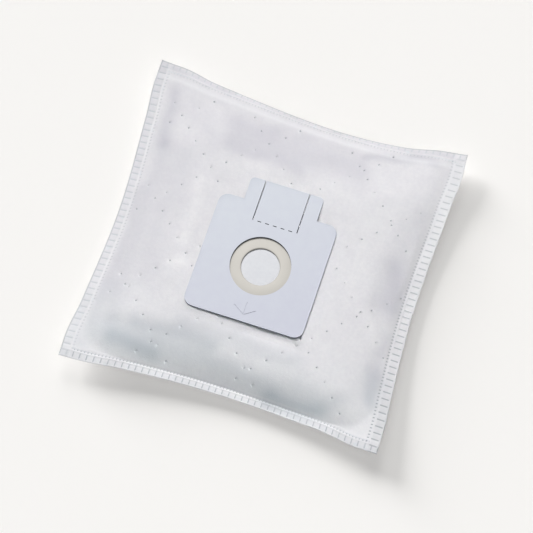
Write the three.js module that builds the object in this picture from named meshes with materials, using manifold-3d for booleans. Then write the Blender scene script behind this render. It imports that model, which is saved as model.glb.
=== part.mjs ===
// A fleece dust bag for a canister vacuum cleaner, new and empty, lying on its back panel.
// Two square fleece sheets are welded together along their four sides into a flat pillow.
// The front sheet carries a card collar with a tab, and under the collar a rubber seal
// closes on the cleaner's inlet tube. +Z is up, the tab points to +Y, and the origin is the
// middle of the bag's bounding box, on the surface that it lies on. All sizes are millimetres.
import * as THREE from 'three';
import { mergeVertices } from 'three/addons/utils/BufferGeometryUtils.js';
import Module from 'manifold-3d';

const solids = await Module();
solids.setup();

// Bag outline, seen from above: four sides, corner to corner
const bagWidth = 281.2;
const leftSideLength = 282.9;
const rightSideLength = 277.5;
const topSideFall = 1.3;
const sideLean = 6.0;
const topSideSag = 9.9;
const topSagSkew = 1.8;
const bottomSideSag = 8.3;
const leftSideSag = 5.4;
const rightSideSag = 5.3;
const sagPower = 1.6;

// Heights of the pillow
const loftHeight = 22.0;
const seamHeightAtCorner = 15.5;
const seamHeightAtMiddle = 7.5;
const frontSwell = 2.3;
const backSwell = 2.0;
const restInset = 46.0;

// Fleece and its weld
const fleeceThickness = 0.8;
const weldThickness = 0.5;
const weldGap = 0.3;
const weldWidth = 8.6;
const weldSlope = THREE.MathUtils.degToRad(11);
const weldRim = 1.4;
const padLength = 5.6;
const padPitch = 5.8;
const padGroove = 1.1;
const padHeight = 0.35;
const padTaper = 0.35;

// Card collar
const inletBelowMiddle = 16.6;
const cardWidth = 106.6;
const cardBodyBelowInlet = 51.9;
const cardBodyAboveInlet = 54.0;
const cardThickness = 2.0;
const cardCornerRadius = 8.5;
const cardHoleRadius = 26.4;
const tabWidth = 66.1;
const tabHeight = 21.5;
const tabShift = 0.4;
const tabCornerRadius = 4.0;
const slitSpacing = 39.9;
const slitWidth = 0.8;
const foldAboveInlet = 37.9;
const foldCutLength = 3.4;
const foldCutWidth = 0.7;
const foldCutPitch = 7.0;
const foldCutCount = 5;

// Rubber seal
const inletTubeDiameter = 35.0;
const sealSqueeze = 1.6;
const sealOuterRadius = 34.0;
const sealThickness = 0.8;
const sealLip = 3.3;

// Where pieces meet
const seatGap = 0.3;
const seatClearance = 1.0;
const seatRampWidth = 2.5;
const cardMargin = 3.5;

// How finely curves are cut into facets
const sideSteps = 22;
const swellSteps = 6;
const arcSteps = 10;
const ringSteps = 72;

// Values that follow from the sizes above
const inlet = new THREE.Vector2(0, -inletBelowMiddle);
const sealHoleRadius = (inletTubeDiameter - sealSqueeze) / 2;
const fleeceHoleRadius = sealHoleRadius + sealLip;
const seatRadius = sealOuterRadius + seatClearance;
const seatDepth = sealThickness + seatGap;
const cardBottom = loftHeight + seatGap;
const sealTop = loftHeight;
const sealBottom = sealTop - sealThickness;

// The four corners of the outline, counterclockwise from the bottom left
const corners = [
  new THREE.Vector2(-bagWidth / 2 + sideLean / 2, -leftSideLength / 2),
  new THREE.Vector2(bagWidth / 2 + sideLean / 2, leftSideLength / 2 - topSideFall - rightSideLength),
  new THREE.Vector2(bagWidth / 2 - sideLean / 2, leftSideLength / 2 - topSideFall),
  new THREE.Vector2(-bagWidth / 2 - sideLean / 2, leftSideLength / 2),
];
const sags = [bottomSideSag, rightSideSag, topSideSag, leftSideSag];
const sagSkews = [0, 0, topSagSkew, 0];
const sideCount = corners.length;

function cornerAfter(side) {
  return corners[(side + 1) % sideCount];
}

function sideLength(side) {
  return corners[side].distanceTo(cornerAfter(side));
}

// How far a side is drawn inwards at a fraction of its length, nothing at its corners
function sagAt(side, along) {
  const even = sags[side] * Math.max(Math.sin(Math.PI * along), 0) ** sagPower;
  return even + sagSkews[side] * Math.sin(2 * Math.PI * along);
}

// A point of the outline itself
function outlinePoint(side, along) {
  const point = corners[side].clone().lerp(cornerAfter(side), along);
  const inward = cornerAfter(side).clone().sub(corners[side]).normalize();
  inward.set(-inward.y, inward.x);
  return point.addScaledVector(inward, sagAt(side, along));
}

// A point at two fractions across the bag, by blending its four sagged sides
function bagPoint(across, up) {
  const point = new THREE.Vector2();
  point.addScaledVector(outlinePoint(0, across), 1 - up);
  point.addScaledVector(outlinePoint(2, 1 - across), up);
  point.addScaledVector(outlinePoint(3, 1 - up), 1 - across);
  point.addScaledVector(outlinePoint(1, up), across);
  point.addScaledVector(corners[0], -(1 - across) * (1 - up));
  point.addScaledVector(corners[1], -across * (1 - up));
  point.addScaledVector(corners[2], -across * up);
  point.addScaledVector(corners[3], -(1 - across) * up);
  return point;
}

// A point beside one side: its distance from the side's first corner and from its edge
function pointBeside(side, distance, inset) {
  const along = distance / sideLength(side);
  const depth = inset / sideLength((side + 1) % sideCount);
  const places = [
    [along, depth],
    [1 - depth, along],
    [1 - along, 1 - depth],
    [depth, 1 - along],
  ];
  return bagPoint(...places[side]);
}

// Height of the middle of the weld: it dips between the corners and slopes down outwards
function weldHeight(side, distance, inset) {
  const length = sideLength(side);
  const nextLength = sideLength((side + 1) % sideCount);
  const nearCorner = (2 * distance / length - 1) ** 2 * (2 * inset / nextLength - 1) ** 2;
  const dip = seamHeightAtMiddle + (seamHeightAtCorner - seamHeightAtMiddle) * nearCorner;
  const fromEdge = Math.min(inset, distance, length - distance);
  return dip - (weldWidth - fromEdge) * Math.tan(weldSlope);
}

// A closed skin of triangles, put together from rings of points around the bag
class Skin {
  constructor() {
    this.positions = [];
    this.triangles = [];
  }

  addPoint(plan, height) {
    this.positions.push(plan.x, plan.y, height);
    return this.positions.length / 3 - 1;
  }

  // A ring is four rows, one for each side, and neighbouring rows share their corner point
  addRing(place) {
    const rows = [];
    for (let side = 0; side < sideCount; side += 1) {
      const row = side === 0 ? [] : [rows[side - 1].at(-1)];
      for (let step = row.length; step <= sideSteps; step += 1) {
        const closes = side === sideCount - 1 && step === sideSteps;
        row.push(closes ? rows[0][0] : place(side, step));
      }
      rows.push(row);
    }
    return rows;
  }

  // Joins two rows that start and end side by side, whatever their counts of points
  joinRows(outer, inner, outerAt, innerAt) {
    let a = 0;
    let b = 0;
    while (a < outer.length - 1 || b < inner.length - 1) {
      const stepOuter = b === inner.length - 1
        || (a < outer.length - 1 && outerAt(a + 1) <= innerAt(b + 1));
      if (stepOuter) {
        this.triangles.push(outer[a], outer[a + 1], inner[b]);
        a += 1;
      } else {
        this.triangles.push(outer[a], inner[b + 1], inner[b]);
        b += 1;
      }
    }
  }

  // Joins two rings that have a point at each other's every point
  joinRings(outer, inner) {
    for (let side = 0; side < sideCount; side += 1) {
      for (let step = 0; step < sideSteps; step += 1) {
        const [a, b] = [outer[side][step], outer[side][step + 1]];
        const [c, d] = [inner[side][step], inner[side][step + 1]];
        this.triangles.push(a, b, d, a, d, c);
      }
    }
  }

  // Fills a flat ring with triangles to one point in its middle
  closeRing(ring, centre) {
    for (const row of ring) {
      for (let step = 0; step < row.length - 1; step += 1) {
        this.triangles.push(row[step], row[step + 1], centre);
      }
    }
  }

  // Adds another skin with its faces turned over, and returns how its points are numbered here
  addTurned(other) {
    const first = this.positions.length / 3;
    this.positions.push(...other.positions);
    for (let corner = 0; corner < other.triangles.length; corner += 3) {
      const [a, b, c] = other.triangles.slice(corner, corner + 3);
      this.triangles.push(a + first, c + first, b + first);
    }
    return (ring) => ring.map((row) => row.map((point) => point + first));
  }

  geometry() {
    const shape = new THREE.BufferGeometry();
    shape.setAttribute('position', new THREE.Float32BufferAttribute(this.positions, 3));
    shape.setIndex(this.triangles);
    shape.computeVertexNormals();
    return shape;
  }
}

// A ring at one distance inside the outline, evenly divided
function weldRing(skin, inset, heightAbove) {
  return skin.addRing((side, step) => {
    const run = sideLength(side) - 2 * inset;
    const distance = inset + run * step / sideSteps;
    const height = weldHeight(side, distance, inset) + heightAbove;
    return skin.addPoint(pointBeside(side, distance, inset), height);
  });
}

// The rectangle that the card covers, with a margin: corners counterclockwise from bottom left
function cardFootprint() {
  const halfWidth = cardWidth / 2 + cardMargin;
  const bottom = inlet.y - cardBodyBelowInlet - cardMargin;
  const top = inlet.y + cardBodyAboveInlet + tabHeight + cardMargin;
  return [
    new THREE.Vector2(inlet.x - halfWidth, bottom),
    new THREE.Vector2(inlet.x + halfWidth, bottom),
    new THREE.Vector2(inlet.x + halfWidth, top),
    new THREE.Vector2(inlet.x - halfWidth, top),
  ];
}

// The part of the back that lies flat on the floor
function restFootprint() {
  return corners.map((corner) => new THREE.Vector2(
    corner.x - Math.sign(corner.x) * restInset,
    corner.y - Math.sign(corner.y) * restInset,
  ));
}

// Rings that swell from the weld to the flat middle, steep at the weld and level at the end
function swellRings(skin, footprint, level, swell, heightAbove) {
  const rings = [];
  for (let ringStep = 1; ringStep <= swellSteps; ringStep += 1) {
    const inward = ringStep / swellSteps;
    const rise = 1 - (1 - inward) ** swell;
    rings.push(skin.addRing((side, step) => {
      const run = sideLength(side) - 2 * weldWidth;
      const distance = weldWidth + run * step / sideSteps;
      const edge = pointBeside(side, distance, weldWidth);
      const flat = footprint[side].clone().lerp(footprint[(side + 1) % sideCount], step / sideSteps);
      const start = weldHeight(side, distance, weldWidth) + heightAbove;
      return skin.addPoint(edge.lerp(flat, inward), start + (level - start) * rise);
    }));
  }
  return rings;
}

// A round ring about the inlet, cut into as many steps as the square ones
function roundRing(skin, radius, height) {
  return skin.addRing((side, step) => {
    const angle = (side + step / sideSteps - 1.5) * Math.PI / 2;
    const point = new THREE.Vector2(Math.cos(angle), Math.sin(angle)).multiplyScalar(radius);
    return skin.addPoint(point.add(inlet), height);
  });
}

function padCount(side) {
  return Math.round((sideLength(side) - 2 * weldWidth) / padPitch);
}

// Where pads start and end along a side, between the squares at its two corners
function padStops(side) {
  const corner = weldRim + padLength;
  const count = padCount(side);
  const pitch = (sideLength(side) - 2 * corner) / count;
  const stops = [weldRim, corner];
  for (let pad = 0; pad < count; pad += 1) {
    const middle = corner + pitch * (pad + 0.5);
    stops.push(middle - (pitch - padGroove) / 2, middle + (pitch - padGroove) / 2);
  }
  stops.push(sideLength(side) - corner, sideLength(side) - weldRim);
  return stops;
}

// A row of points at the pads' stops, along the outer or the inner end of the pads
function padRow(skin, side, stops, inset, heightAbove) {
  return stops.map((distance) => {
    const height = weldHeight(side, distance, inset) + heightAbove;
    return skin.addPoint(pointBeside(side, distance, inset), height);
  });
}

// A raised pad on four base points, given counterclockwise, with its place on the weld
function addPad(skin, base, side, from, to, outer, inner, heightAbove) {
  const tops = [
    [from + padTaper, outer + padTaper],
    [to - padTaper, outer + padTaper],
    [to - padTaper, inner - padTaper],
    [from + padTaper, inner - padTaper],
  ].map(([distance, inset]) => {
    const height = weldHeight(side, distance, inset) + heightAbove + padHeight;
    return skin.addPoint(pointBeside(side, distance, inset), height);
  });
  for (let edge = 0; edge < tops.length; edge += 1) {
    const next = (edge + 1) % tops.length;
    skin.triangles.push(base[edge], base[next], tops[next]);
    skin.triangles.push(base[edge], tops[next], tops[edge]);
  }
  skin.triangles.push(tops[0], tops[1], tops[2], tops[0], tops[2], tops[3]);
}

// The ladder of pads that the weld presses into the front, with a square pad at each corner
function addWeldLadder(skin, edgeRing, heightAbove) {
  const inset = weldRim + padLength;
  const stops = corners.map((corner, side) => padStops(side));
  const outerRows = stops.map((list, side) => padRow(skin, side, list, weldRim, heightAbove));
  const innerRows = stops.map((list, side) => padRow(skin, side, list.slice(1, -1), inset, heightAbove));
  for (let side = 0; side < sideCount; side += 1) {
    const next = (side + 1) % sideCount;
    outerRows[next][0] = outerRows[side].at(-1);
    innerRows[next][0] = innerRows[side].at(-1);
  }
  for (let side = 0; side < sideCount; side += 1) {
    const before = (side + sideCount - 1) % sideCount;
    const outer = outerRows[side];
    const inner = innerRows[side];
    const list = stops[side];
    const width = list.at(-1) - weldRim;
    const outerAt = (step) => (list[step] - weldRim) / (width - weldRim);
    skin.joinRows(edgeRing[side], outer, (step) => step / sideSteps, outerAt);
    const corner = [outer[0], outer[1], inner[0], outerRows[before].at(-2)];
    addPad(skin, corner, side, list[0], list[1], weldRim, inset, heightAbove);
    for (let step = 1; step < list.length - 2; step += 1) {
      const base = [outer[step], outer[step + 1], inner[step], inner[step - 1]];
      if (step % 2 === 0) {
        addPad(skin, base, side, list[step], list[step + 1], weldRim, inset, heightAbove);
      } else {
        skin.triangles.push(base[0], base[1], base[2], base[0], base[2], base[3]);
      }
    }
  }
  return innerRows;
}

// The upper face of the front sheet: edge, ladder, swell, seat for the seal and inlet hole
function frontUpperSkin() {
  const skin = new Skin();
  const above = weldGap / 2 + weldThickness;
  const edge = weldRing(skin, 0, above);
  const ladder = addWeldLadder(skin, edge, above);
  const fold = weldRing(skin, weldWidth, above);
  for (let side = 0; side < sideCount; side += 1) {
    const stops = padStops(side).slice(1, -1);
    const run = stops.at(-1) - stops[0];
    const ladderAt = (step) => (stops[step] - stops[0]) / run;
    skin.joinRows(ladder[side], fold[side], ladderAt, (step) => step / sideSteps);
  }
  const hole = addFrontMiddle(skin, fold, loftHeight, above);
  return { skin, edge, hole };
}

// The face of the front sheet that looks into the bag
function frontLowerSkin() {
  const skin = new Skin();
  const above = weldGap / 2;
  const edge = weldRing(skin, 0, above);
  const fold = weldRing(skin, weldWidth, above);
  skin.joinRings(edge, fold);
  const hole = addFrontMiddle(skin, fold, loftHeight - fleeceThickness, above);
  return { skin, edge, hole };
}

// Everything inside the weld on either face of the front sheet
function addFrontMiddle(skin, fold, level, above) {
  const rings = [
    fold,
    ...swellRings(skin, cardFootprint(), level, frontSwell, above),
    roundRing(skin, seatRadius + seatRampWidth, level),
    roundRing(skin, seatRadius, level - seatDepth),
    roundRing(skin, fleeceHoleRadius, level - seatDepth),
  ];
  for (let ring = 1; ring < rings.length; ring += 1) {
    skin.joinRings(rings[ring - 1], rings[ring]);
  }
  return rings.at(-1);
}

function frontPanel() {
  const upper = frontUpperSkin();
  const lower = frontLowerSkin();
  const moved = upper.skin.addTurned(lower.skin);
  upper.skin.joinRings(moved(lower.edge), upper.edge);
  upper.skin.joinRings(upper.hole, moved(lower.hole));
  return upper.skin.geometry();
}

// One face of the back sheet, which swells down from the weld to its flat rest
function backSkin(level, above) {
  const skin = new Skin();
  const edge = weldRing(skin, 0, above);
  const fold = weldRing(skin, weldWidth, above);
  const rings = [edge, fold, ...swellRings(skin, restFootprint(), level, backSwell, above)];
  for (let ring = 1; ring < rings.length; ring += 1) {
    skin.joinRings(rings[ring - 1], rings[ring]);
  }
  skin.closeRing(rings.at(-1), skin.addPoint(new THREE.Vector2(), level));
  return { skin, edge };
}

function backPanel() {
  const upper = backSkin(fleeceThickness, -weldGap / 2);
  const lower = backSkin(0, -weldGap / 2 - weldThickness);
  const moved = upper.skin.addTurned(lower.skin);
  upper.skin.joinRings(moved(lower.edge), upper.edge);
  return upper.skin.geometry();
}

// Outline of the card: a body with round corners and a narrower tab above it
function cardOutline() {
  const half = cardWidth / 2;
  const low = -cardBodyBelowInlet;
  const shoulder = cardBodyAboveInlet;
  const top = shoulder + tabHeight;
  const tabLeft = tabShift - tabWidth / 2;
  const tabRight = tabShift + tabWidth / 2;
  const inBody = half - cardCornerRadius;
  const quarter = Math.PI / 2;
  const outline = new THREE.Shape();
  outline.absarc(inBody, low + cardCornerRadius, cardCornerRadius, -quarter, 0);
  outline.absarc(inBody, shoulder - cardCornerRadius, cardCornerRadius, 0, quarter);
  outline.lineTo(tabRight, shoulder);
  outline.absarc(tabRight - tabCornerRadius, top - tabCornerRadius, tabCornerRadius, 0, quarter);
  outline.absarc(tabLeft + tabCornerRadius, top - tabCornerRadius, tabCornerRadius, quarter, Math.PI);
  outline.lineTo(tabLeft, shoulder);
  outline.absarc(-inBody, shoulder - cardCornerRadius, cardCornerRadius, quarter, Math.PI);
  outline.absarc(-inBody, low + cardCornerRadius, cardCornerRadius, Math.PI, 3 * quarter);
  outline.closePath();
  return outline;
}

// A closed three.js shape as a solid that can be cut
function toSolid(geometry) {
  const bare = geometry.clone();
  bare.deleteAttribute('normal');
  bare.deleteAttribute('uv');
  const merged = mergeVertices(bare);
  return new solids.Manifold(new solids.Mesh({
    numProp: 3,
    vertProperties: merged.attributes.position.array,
    triVerts: new Uint32Array(merged.index.array),
  }));
}

function toGeometry(solid) {
  const mesh = solid.getMesh();
  const shape = new THREE.BufferGeometry();
  shape.setAttribute('position', new THREE.BufferAttribute(mesh.vertProperties, mesh.numProp));
  shape.setIndex(new THREE.BufferAttribute(mesh.triVerts, 1));
  shape.computeVertexNormals();
  return shape;
}

// The punch for the round window over the seal
function windowPunch() {
  const punch = new THREE.CylinderGeometry(cardHoleRadius, cardHoleRadius, 2 * cardThickness, ringSteps);
  punch.rotateX(Math.PI / 2);
  punch.translate(0, 0, cardThickness / 2);
  return toSolid(punch);
}

// A straight blade that cuts right through the card between two corners of a rectangle
function blade(left, right, low, high) {
  const cut = new THREE.BoxGeometry(right - left, high - low, 2 * cardThickness);
  cut.translate((left + right) / 2, (low + high) / 2, cardThickness / 2);
  return toSolid(cut);
}

// The tab is cut by two slits, and a dashed line between their ends lets the flap fold up
function collarCard() {
  const blank = new THREE.ExtrudeGeometry(cardOutline(), {
    depth: cardThickness,
    bevelEnabled: false,
    curveSegments: arcSteps,
  });
  let card = toSolid(blank).subtract(windowPunch());
  const beyondTab = cardBodyAboveInlet + tabHeight + slitWidth;
  for (const middle of [tabShift - slitSpacing / 2, tabShift + slitSpacing / 2]) {
    card = card.subtract(blade(middle - slitWidth / 2, middle + slitWidth / 2, foldAboveInlet, beyondTab));
  }
  const foldLow = foldAboveInlet - foldCutWidth / 2;
  for (let cut = 0; cut < foldCutCount; cut += 1) {
    const middle = tabShift + (cut - (foldCutCount - 1) / 2) * foldCutPitch;
    const left = middle - foldCutLength / 2;
    card = card.subtract(blade(left, left + foldCutLength, foldLow, foldLow + foldCutWidth));
  }
  return toGeometry(card);
}

// A flat rubber washer whose inner edge grips the inlet tube
function sealRing() {
  const profile = [
    new THREE.Vector2(sealHoleRadius, sealBottom),
    new THREE.Vector2(sealOuterRadius, sealBottom),
    new THREE.Vector2(sealOuterRadius, sealTop),
    new THREE.Vector2(sealHoleRadius, sealTop),
    new THREE.Vector2(sealHoleRadius, sealBottom),
  ];
  const ring = new THREE.LatheGeometry(profile, ringSteps);
  ring.rotateX(Math.PI / 2);
  return ring;
}

function part(name, geometry, color, roughness) {
  const mesh = new THREE.Mesh(geometry, new THREE.MeshStandardMaterial({ color, roughness, metalness: 0 }));
  mesh.name = name;
  return mesh;
}

const dustBag = new THREE.Group();

dustBag.add(part('back_panel', backPanel(), 0xdfdfe3, 0.95));
dustBag.add(part('front_panel', frontPanel(), 0xe0e0e4, 0.95));

const collar = new THREE.Group();
collar.position.set(inlet.x, inlet.y, 0);
const card = part('collar_card', collarCard(), 0xd6d9e3, 0.8);
card.position.z = cardBottom;
collar.add(card);
collar.add(part('inlet_seal', sealRing(), 0xd5d2c8, 0.7));
dustBag.add(collar);

export default dustBag;
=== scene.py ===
# %% [markdown]
# # A fleece dust bag with a card collar
# The bag is two square sheets of white polypropylene fleece, welded together round the edge.
# A board collar with a folding tab is glued over the inlet, and a rubber ring seals the cleaner's tube.
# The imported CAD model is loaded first, and every piece here is made in its frame, in metres,
# so that a piece goes where the CAD says. Shapes are worked out in millimetres, as on a drawing.

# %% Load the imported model
import math

import bmesh
import bpy
from mathutils import Matrix, Vector, kdtree, noise


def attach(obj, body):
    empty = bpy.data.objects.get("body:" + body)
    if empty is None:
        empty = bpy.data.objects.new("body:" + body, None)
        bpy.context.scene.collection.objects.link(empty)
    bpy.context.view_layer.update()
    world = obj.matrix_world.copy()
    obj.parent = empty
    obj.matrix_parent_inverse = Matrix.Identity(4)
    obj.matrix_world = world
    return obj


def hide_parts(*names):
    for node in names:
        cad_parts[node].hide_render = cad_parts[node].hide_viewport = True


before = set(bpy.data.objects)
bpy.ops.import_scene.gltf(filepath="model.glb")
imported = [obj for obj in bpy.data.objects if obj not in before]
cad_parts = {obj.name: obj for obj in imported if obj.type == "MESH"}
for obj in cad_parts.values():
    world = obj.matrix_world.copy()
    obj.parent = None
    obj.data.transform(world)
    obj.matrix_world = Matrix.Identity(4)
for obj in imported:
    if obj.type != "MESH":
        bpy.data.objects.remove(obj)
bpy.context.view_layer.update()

MM = 0.001
print("CAD nodes:", sorted(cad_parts))

# %% [markdown]
# ## Camera
# The photograph looks down on the bag from 71.6 degrees, through a long lens.
# The lens and the distance were fitted to the card's straight edges and its round window.
# The camera comes first, so that every later step can be looked at from the right place.

# %% Camera
CAMERA_AZIMUTH = math.radians(18.3)
CAMERA_ELEVATION = math.radians(71.6)
CAMERA_DISTANCE = 1.92375
CAMERA_TARGET = Vector((0.00509, -0.01539, 0.0243))
SENSOR_WIDTH = 36.0
LENS = 152.0

back = Vector((
    math.sin(CAMERA_AZIMUTH) * math.cos(CAMERA_ELEVATION),
    -math.cos(CAMERA_AZIMUTH) * math.cos(CAMERA_ELEVATION),
    math.sin(CAMERA_ELEVATION),
))
camera_data = bpy.data.cameras.new("camera")
camera_data.sensor_width = SENSOR_WIDTH
camera_data.lens = LENS
camera = bpy.data.objects.new("camera", camera_data)
camera.location = CAMERA_TARGET + back * CAMERA_DISTANCE
camera.rotation_mode = "QUATERNION"
camera.rotation_quaternion = (-back).to_track_quat("-Z", "Y")
bpy.context.scene.collection.objects.link(camera)
bpy.context.scene.camera = camera
print("camera at", [round(c, 3) for c in camera.location])

# %% [markdown]
# ## The bag's outline
# Each sheet is cut almost square, but once the bag is filled with its own folds the sides draw in
# towards the middle, as on a pillow. The plan is a Coons patch: a sheet stretched between four
# curved sides. It turns a place on the flat cut sheet, (u, v) from 0 to 1, into a place in plan.

# %% Outline of the bag in plan
BAG_WIDTH = 281.2
LEFT_SIDE = 282.9
RIGHT_SIDE = 277.5
TOP_FALL = 1.3
SIDE_LEAN = 6.0
SIDE_SAGS = (7.7, 4.7, 9.1, 5.4)
SIDE_SKEWS = (0.3, 1.0, 2.3, 0.0)
SAG_POWERS = (1.4, 2.2, 1.0, 2.6)
SHOULDERS = (0.5, 0.9, 1.4, 0.8)
SHOULDER_REACH = 0.18
EARS = (Vector((-1.4, -0.9)), Vector((-0.2, -2.8)), Vector((1.2, 0.6)), Vector((-0.9, 1.0)))
EAR_REACH = (0.05, 0.2)
SHEET = (BAG_WIDTH, (LEFT_SIDE + RIGHT_SIDE) / 2)

CORNERS = (
    Vector((-BAG_WIDTH / 2 + SIDE_LEAN / 2, -LEFT_SIDE / 2)),
    Vector((BAG_WIDTH / 2 + SIDE_LEAN / 2, LEFT_SIDE / 2 - TOP_FALL - RIGHT_SIDE)),
    Vector((BAG_WIDTH / 2 - SIDE_LEAN / 2, LEFT_SIDE / 2 - TOP_FALL)),
    Vector((-BAG_WIDTH / 2 - SIDE_LEAN / 2, LEFT_SIDE / 2)),
)


def smooth(low, high, value):
    """0 below low, 1 above high, and an even curve between."""
    share = min(max((value - low) / (high - low), 0.0), 1.0)
    return share * share * (3 - 2 * share)


def side_point(side, t):
    """A point on the bottom, right, top or left side, from its first corner, anticlockwise."""
    first = CORNERS[side]
    second = CORNERS[(side + 1) % 4]
    along = (second - first).normalized()
    inward = Vector((-along.y, along.x))
    sag = SIDE_SAGS[side] * max(math.sin(math.pi * t), 0) ** SAG_POWERS[side]
    sag += SIDE_SKEWS[side] * math.sin(2 * math.pi * t)
    for reach in (t, 1 - t):
        sag -= SHOULDERS[side] * math.sin(math.pi * min(max(reach / SHOULDER_REACH, 0), 1)) ** 2
    return first.lerp(second, t) + inward * sag


def plan_point(u, v):
    """Where a place on the flat sheet lies in plan."""
    bottom = side_point(0, u)
    top = side_point(2, 1 - u)
    left = side_point(3, 1 - v)
    right = side_point(1, v)
    low = CORNERS[0].lerp(CORNERS[1], u)
    high = CORNERS[3].lerp(CORNERS[2], u)
    place = bottom.lerp(top, v) + left.lerp(right, u) - low.lerp(high, v)
    for ear, across, up in zip(EARS, (u, 1 - u, 1 - u, u), (v, v, 1 - v, 1 - v)):
        place += ear * (1 - smooth(*EAR_REACH, across)) * (1 - smooth(*EAR_REACH, up))
    return place


def sheet_place(x, y):
    """The place (u, v) on the flat sheet that lies at x, y in plan."""
    u, v = 0.5, 0.5
    for _ in range(12):
        at = plan_point(u, v)
        u += (x - at.x) / BAG_WIDTH
        v += (y - at.y) / LEFT_SIDE
    return u, v


print("bottom side's middle:", [round(c, 1) for c in side_point(0, 0.5)])

# %% [markdown]
# ## How the bag lies
# The seams stand higher at the corners than between them. The front sheet climbs from its weld
# to a flat top round the collar. Each side climbs in its own way: steeply next to the bottom weld,
# more gently at the left, and in two steps at the top, where the weld droops away from the camera.
# A height worked out from the four sides keeps the form soft, with no hard line at the diagonals.

# %% Heights of the seam and the swell
SEAM_MIDDLE = 7.5
BOTTOM_SEAM_DIP = 3.5
DIP_SKEW = 1.36
SEAM_CORNER = 15.5
LOFT = 22.0
WELD = 8.6
WELD_WIDTHS = (WELD, 10.4, WELD, 9.0)
SHEET_GAP = 0.02
WALL = 0.64
WELD_WALL_SHARE = 0.4
SIDE_DROOP = math.radians(11)
TOP_DROOP = math.radians(45)
DROOP_FADE = 50.0
BOTTOM_LIFT = math.radians(35)
PLATEAU = (-56.8, -60.0, 56.8, 62.4)
REST_INSET = 46.0
SOFTNESS = 4


def droop_of_top(u):
    """How far the top weld tips over: least at the corners, most in the middle."""
    return SIDE_DROOP + (TOP_DROOP - SIDE_DROOP) * max(math.sin(math.pi * u), 0) ** 0.7


def tipped_v(u, v):
    """v after the top weld has tipped over, which takes less room in plan."""
    depth = (1 - v) * SHEET[1]
    saved = min(depth, WELD) * (1 - math.cos(droop_of_top(u)))
    fade = 1 - smooth(WELD, WELD + DROOP_FADE, depth)
    return v + saved * fade / SHEET[1]


def weld_height(u, v):
    """The middle of the weld, and of where it would go on inside the bag."""
    rise = (SEAM_CORNER - SEAM_MIDDLE) * (2 * u - 1) ** 2 * (2 * v - 1) ** 2
    insets = (v * SHEET[1], (1 - u) * SHEET[0], (1 - v) * SHEET[1], u * SHEET[0])
    droops = (SIDE_DROOP, SIDE_DROOP, droop_of_top(u), SIDE_DROOP)
    drops = [max(width - inset, 0) * math.sin(droop) for width, inset, droop in zip(WELD_WIDTHS, insets, droops)]
    dip = BOTTOM_SEAM_DIP * max(math.sin(math.pi * max(u, 0) ** DIP_SKEW), 0) ** 2 * (1 - smooth(0.0, 0.5, v))
    lift = max(WELD - insets[0], 0) * math.sin(BOTTOM_LIFT) * max(math.sin(math.pi * u), 0) ** 0.7
    return SEAM_MIDDLE + rise - dip + lift - sum(drop ** 4 for drop in drops) ** 0.25


def wall_at(u, v):
    """The fleece's thickness: the weld presses it thin."""
    inset = min(u * SHEET[0], (1 - u) * SHEET[0], v * SHEET[1], (1 - v) * SHEET[1])
    return WALL * (WELD_WALL_SHARE + (1 - WELD_WALL_SHARE) * smooth(WELD, WELD + 3, inset))


def shares(u, v, at, flat_top):
    """For the bottom, right, top and left: the share of the way from its weld to the flat top."""
    insets = (v * SHEET[1], (1 - u) * SHEET[0], (1 - v) * SHEET[1], u * SHEET[0])
    ahead = (flat_top[1] - at.y, at.x - flat_top[2], at.y - flat_top[3], flat_top[0] - at.x)
    result = []
    for width, inset, left in zip(WELD_WIDTHS, insets, ahead):
        done = max(inset - width, 0.0)
        left = max(left, 0.0)
        result.append(done / (done + left) if done + left > 0 else 1.0)
    return result


def climb(share, power):
    """Steepest at the weld, and flat at the top."""
    return 1 - (1 - share) ** power


def top_climb(share):
    """Flat beside the weld, then a slope, then flat again."""
    return 0.12 * climb(share, 2.0) + 0.88 * smooth(0.12, 0.86, share)


print("weld at a corner, mm:", round(weld_height(0, 0), 1), "and mid-side:", round(weld_height(0.5, 0), 1))

# %% [markdown]
# ## Folds of the front sheet
# A bag that has been flat in its box keeps soft folds. Each one here is a short valley or ridge:
# a line in plan with a width and a height that fade out to nothing, so that they blend.

# %% Soft folds
# each mark has x and y of both its ends, a half width and an amount, in mm
FOLDS = [
    (-60, 88, -20, 84, 9, -0.8),
    (20, 92, 90, 96, 10, -0.6),
    (-60, 119, 50, 116, 5, 0.8),
    (112, 60, 106, -20, 9, -1.4),
    (122, -50, 114, -100, 7, -1.2),
    (98, -20, 112, -48, 6, 0.9),
    (-110, -100, -40, -96, 9, -0.8),
    (20, -120, 85, -121, 8, -1.6),
    (-100, 100, -70, 70, 8, 0.8),
    (100, -100, 70, -84, 8, 0.8),
    (-118, 100, -108, 30, 7, -0.9),
    (-78, 45, -74, -20, 6, 0.5),
    (-46, -73, 50, -74, 4.5, -1.0),
    (10, -72, 60, -74, 6, -1.4),
]
DIMPLE = 0.45
DIMPLE_HALF = 2.4
CREASE = (30.0, 0.8)
COCKLE = (9.0, 0.16)


def soft_marks(marks, x, y):
    """The sum at x, y of marks that each fade out sideways like a bell."""
    total = 0.0
    at = Vector((x, y))
    for x0, y0, x1, y1, width, amount in marks:
        first = Vector((x0, y0))
        along = Vector((x1, y1)) - first
        share = min(max((at - first).dot(along) / along.length_squared, 0.0), 1.0)
        away = (at - first - along * share).length / width
        if away < 3:
            total += amount * math.exp(-away * away)
    return total


def restless(x, y):
    """The small unevenness of cloth: long soft creases, and a finer cockle."""
    return sum(noise.noise(Vector((x / size, y / size, size))) * height for size, height in (CREASE, COCKLE))


SEAT_RADIUS = 36.0
SEAT_DEPTH = 1.1
INLET_Y = -16.6


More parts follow.
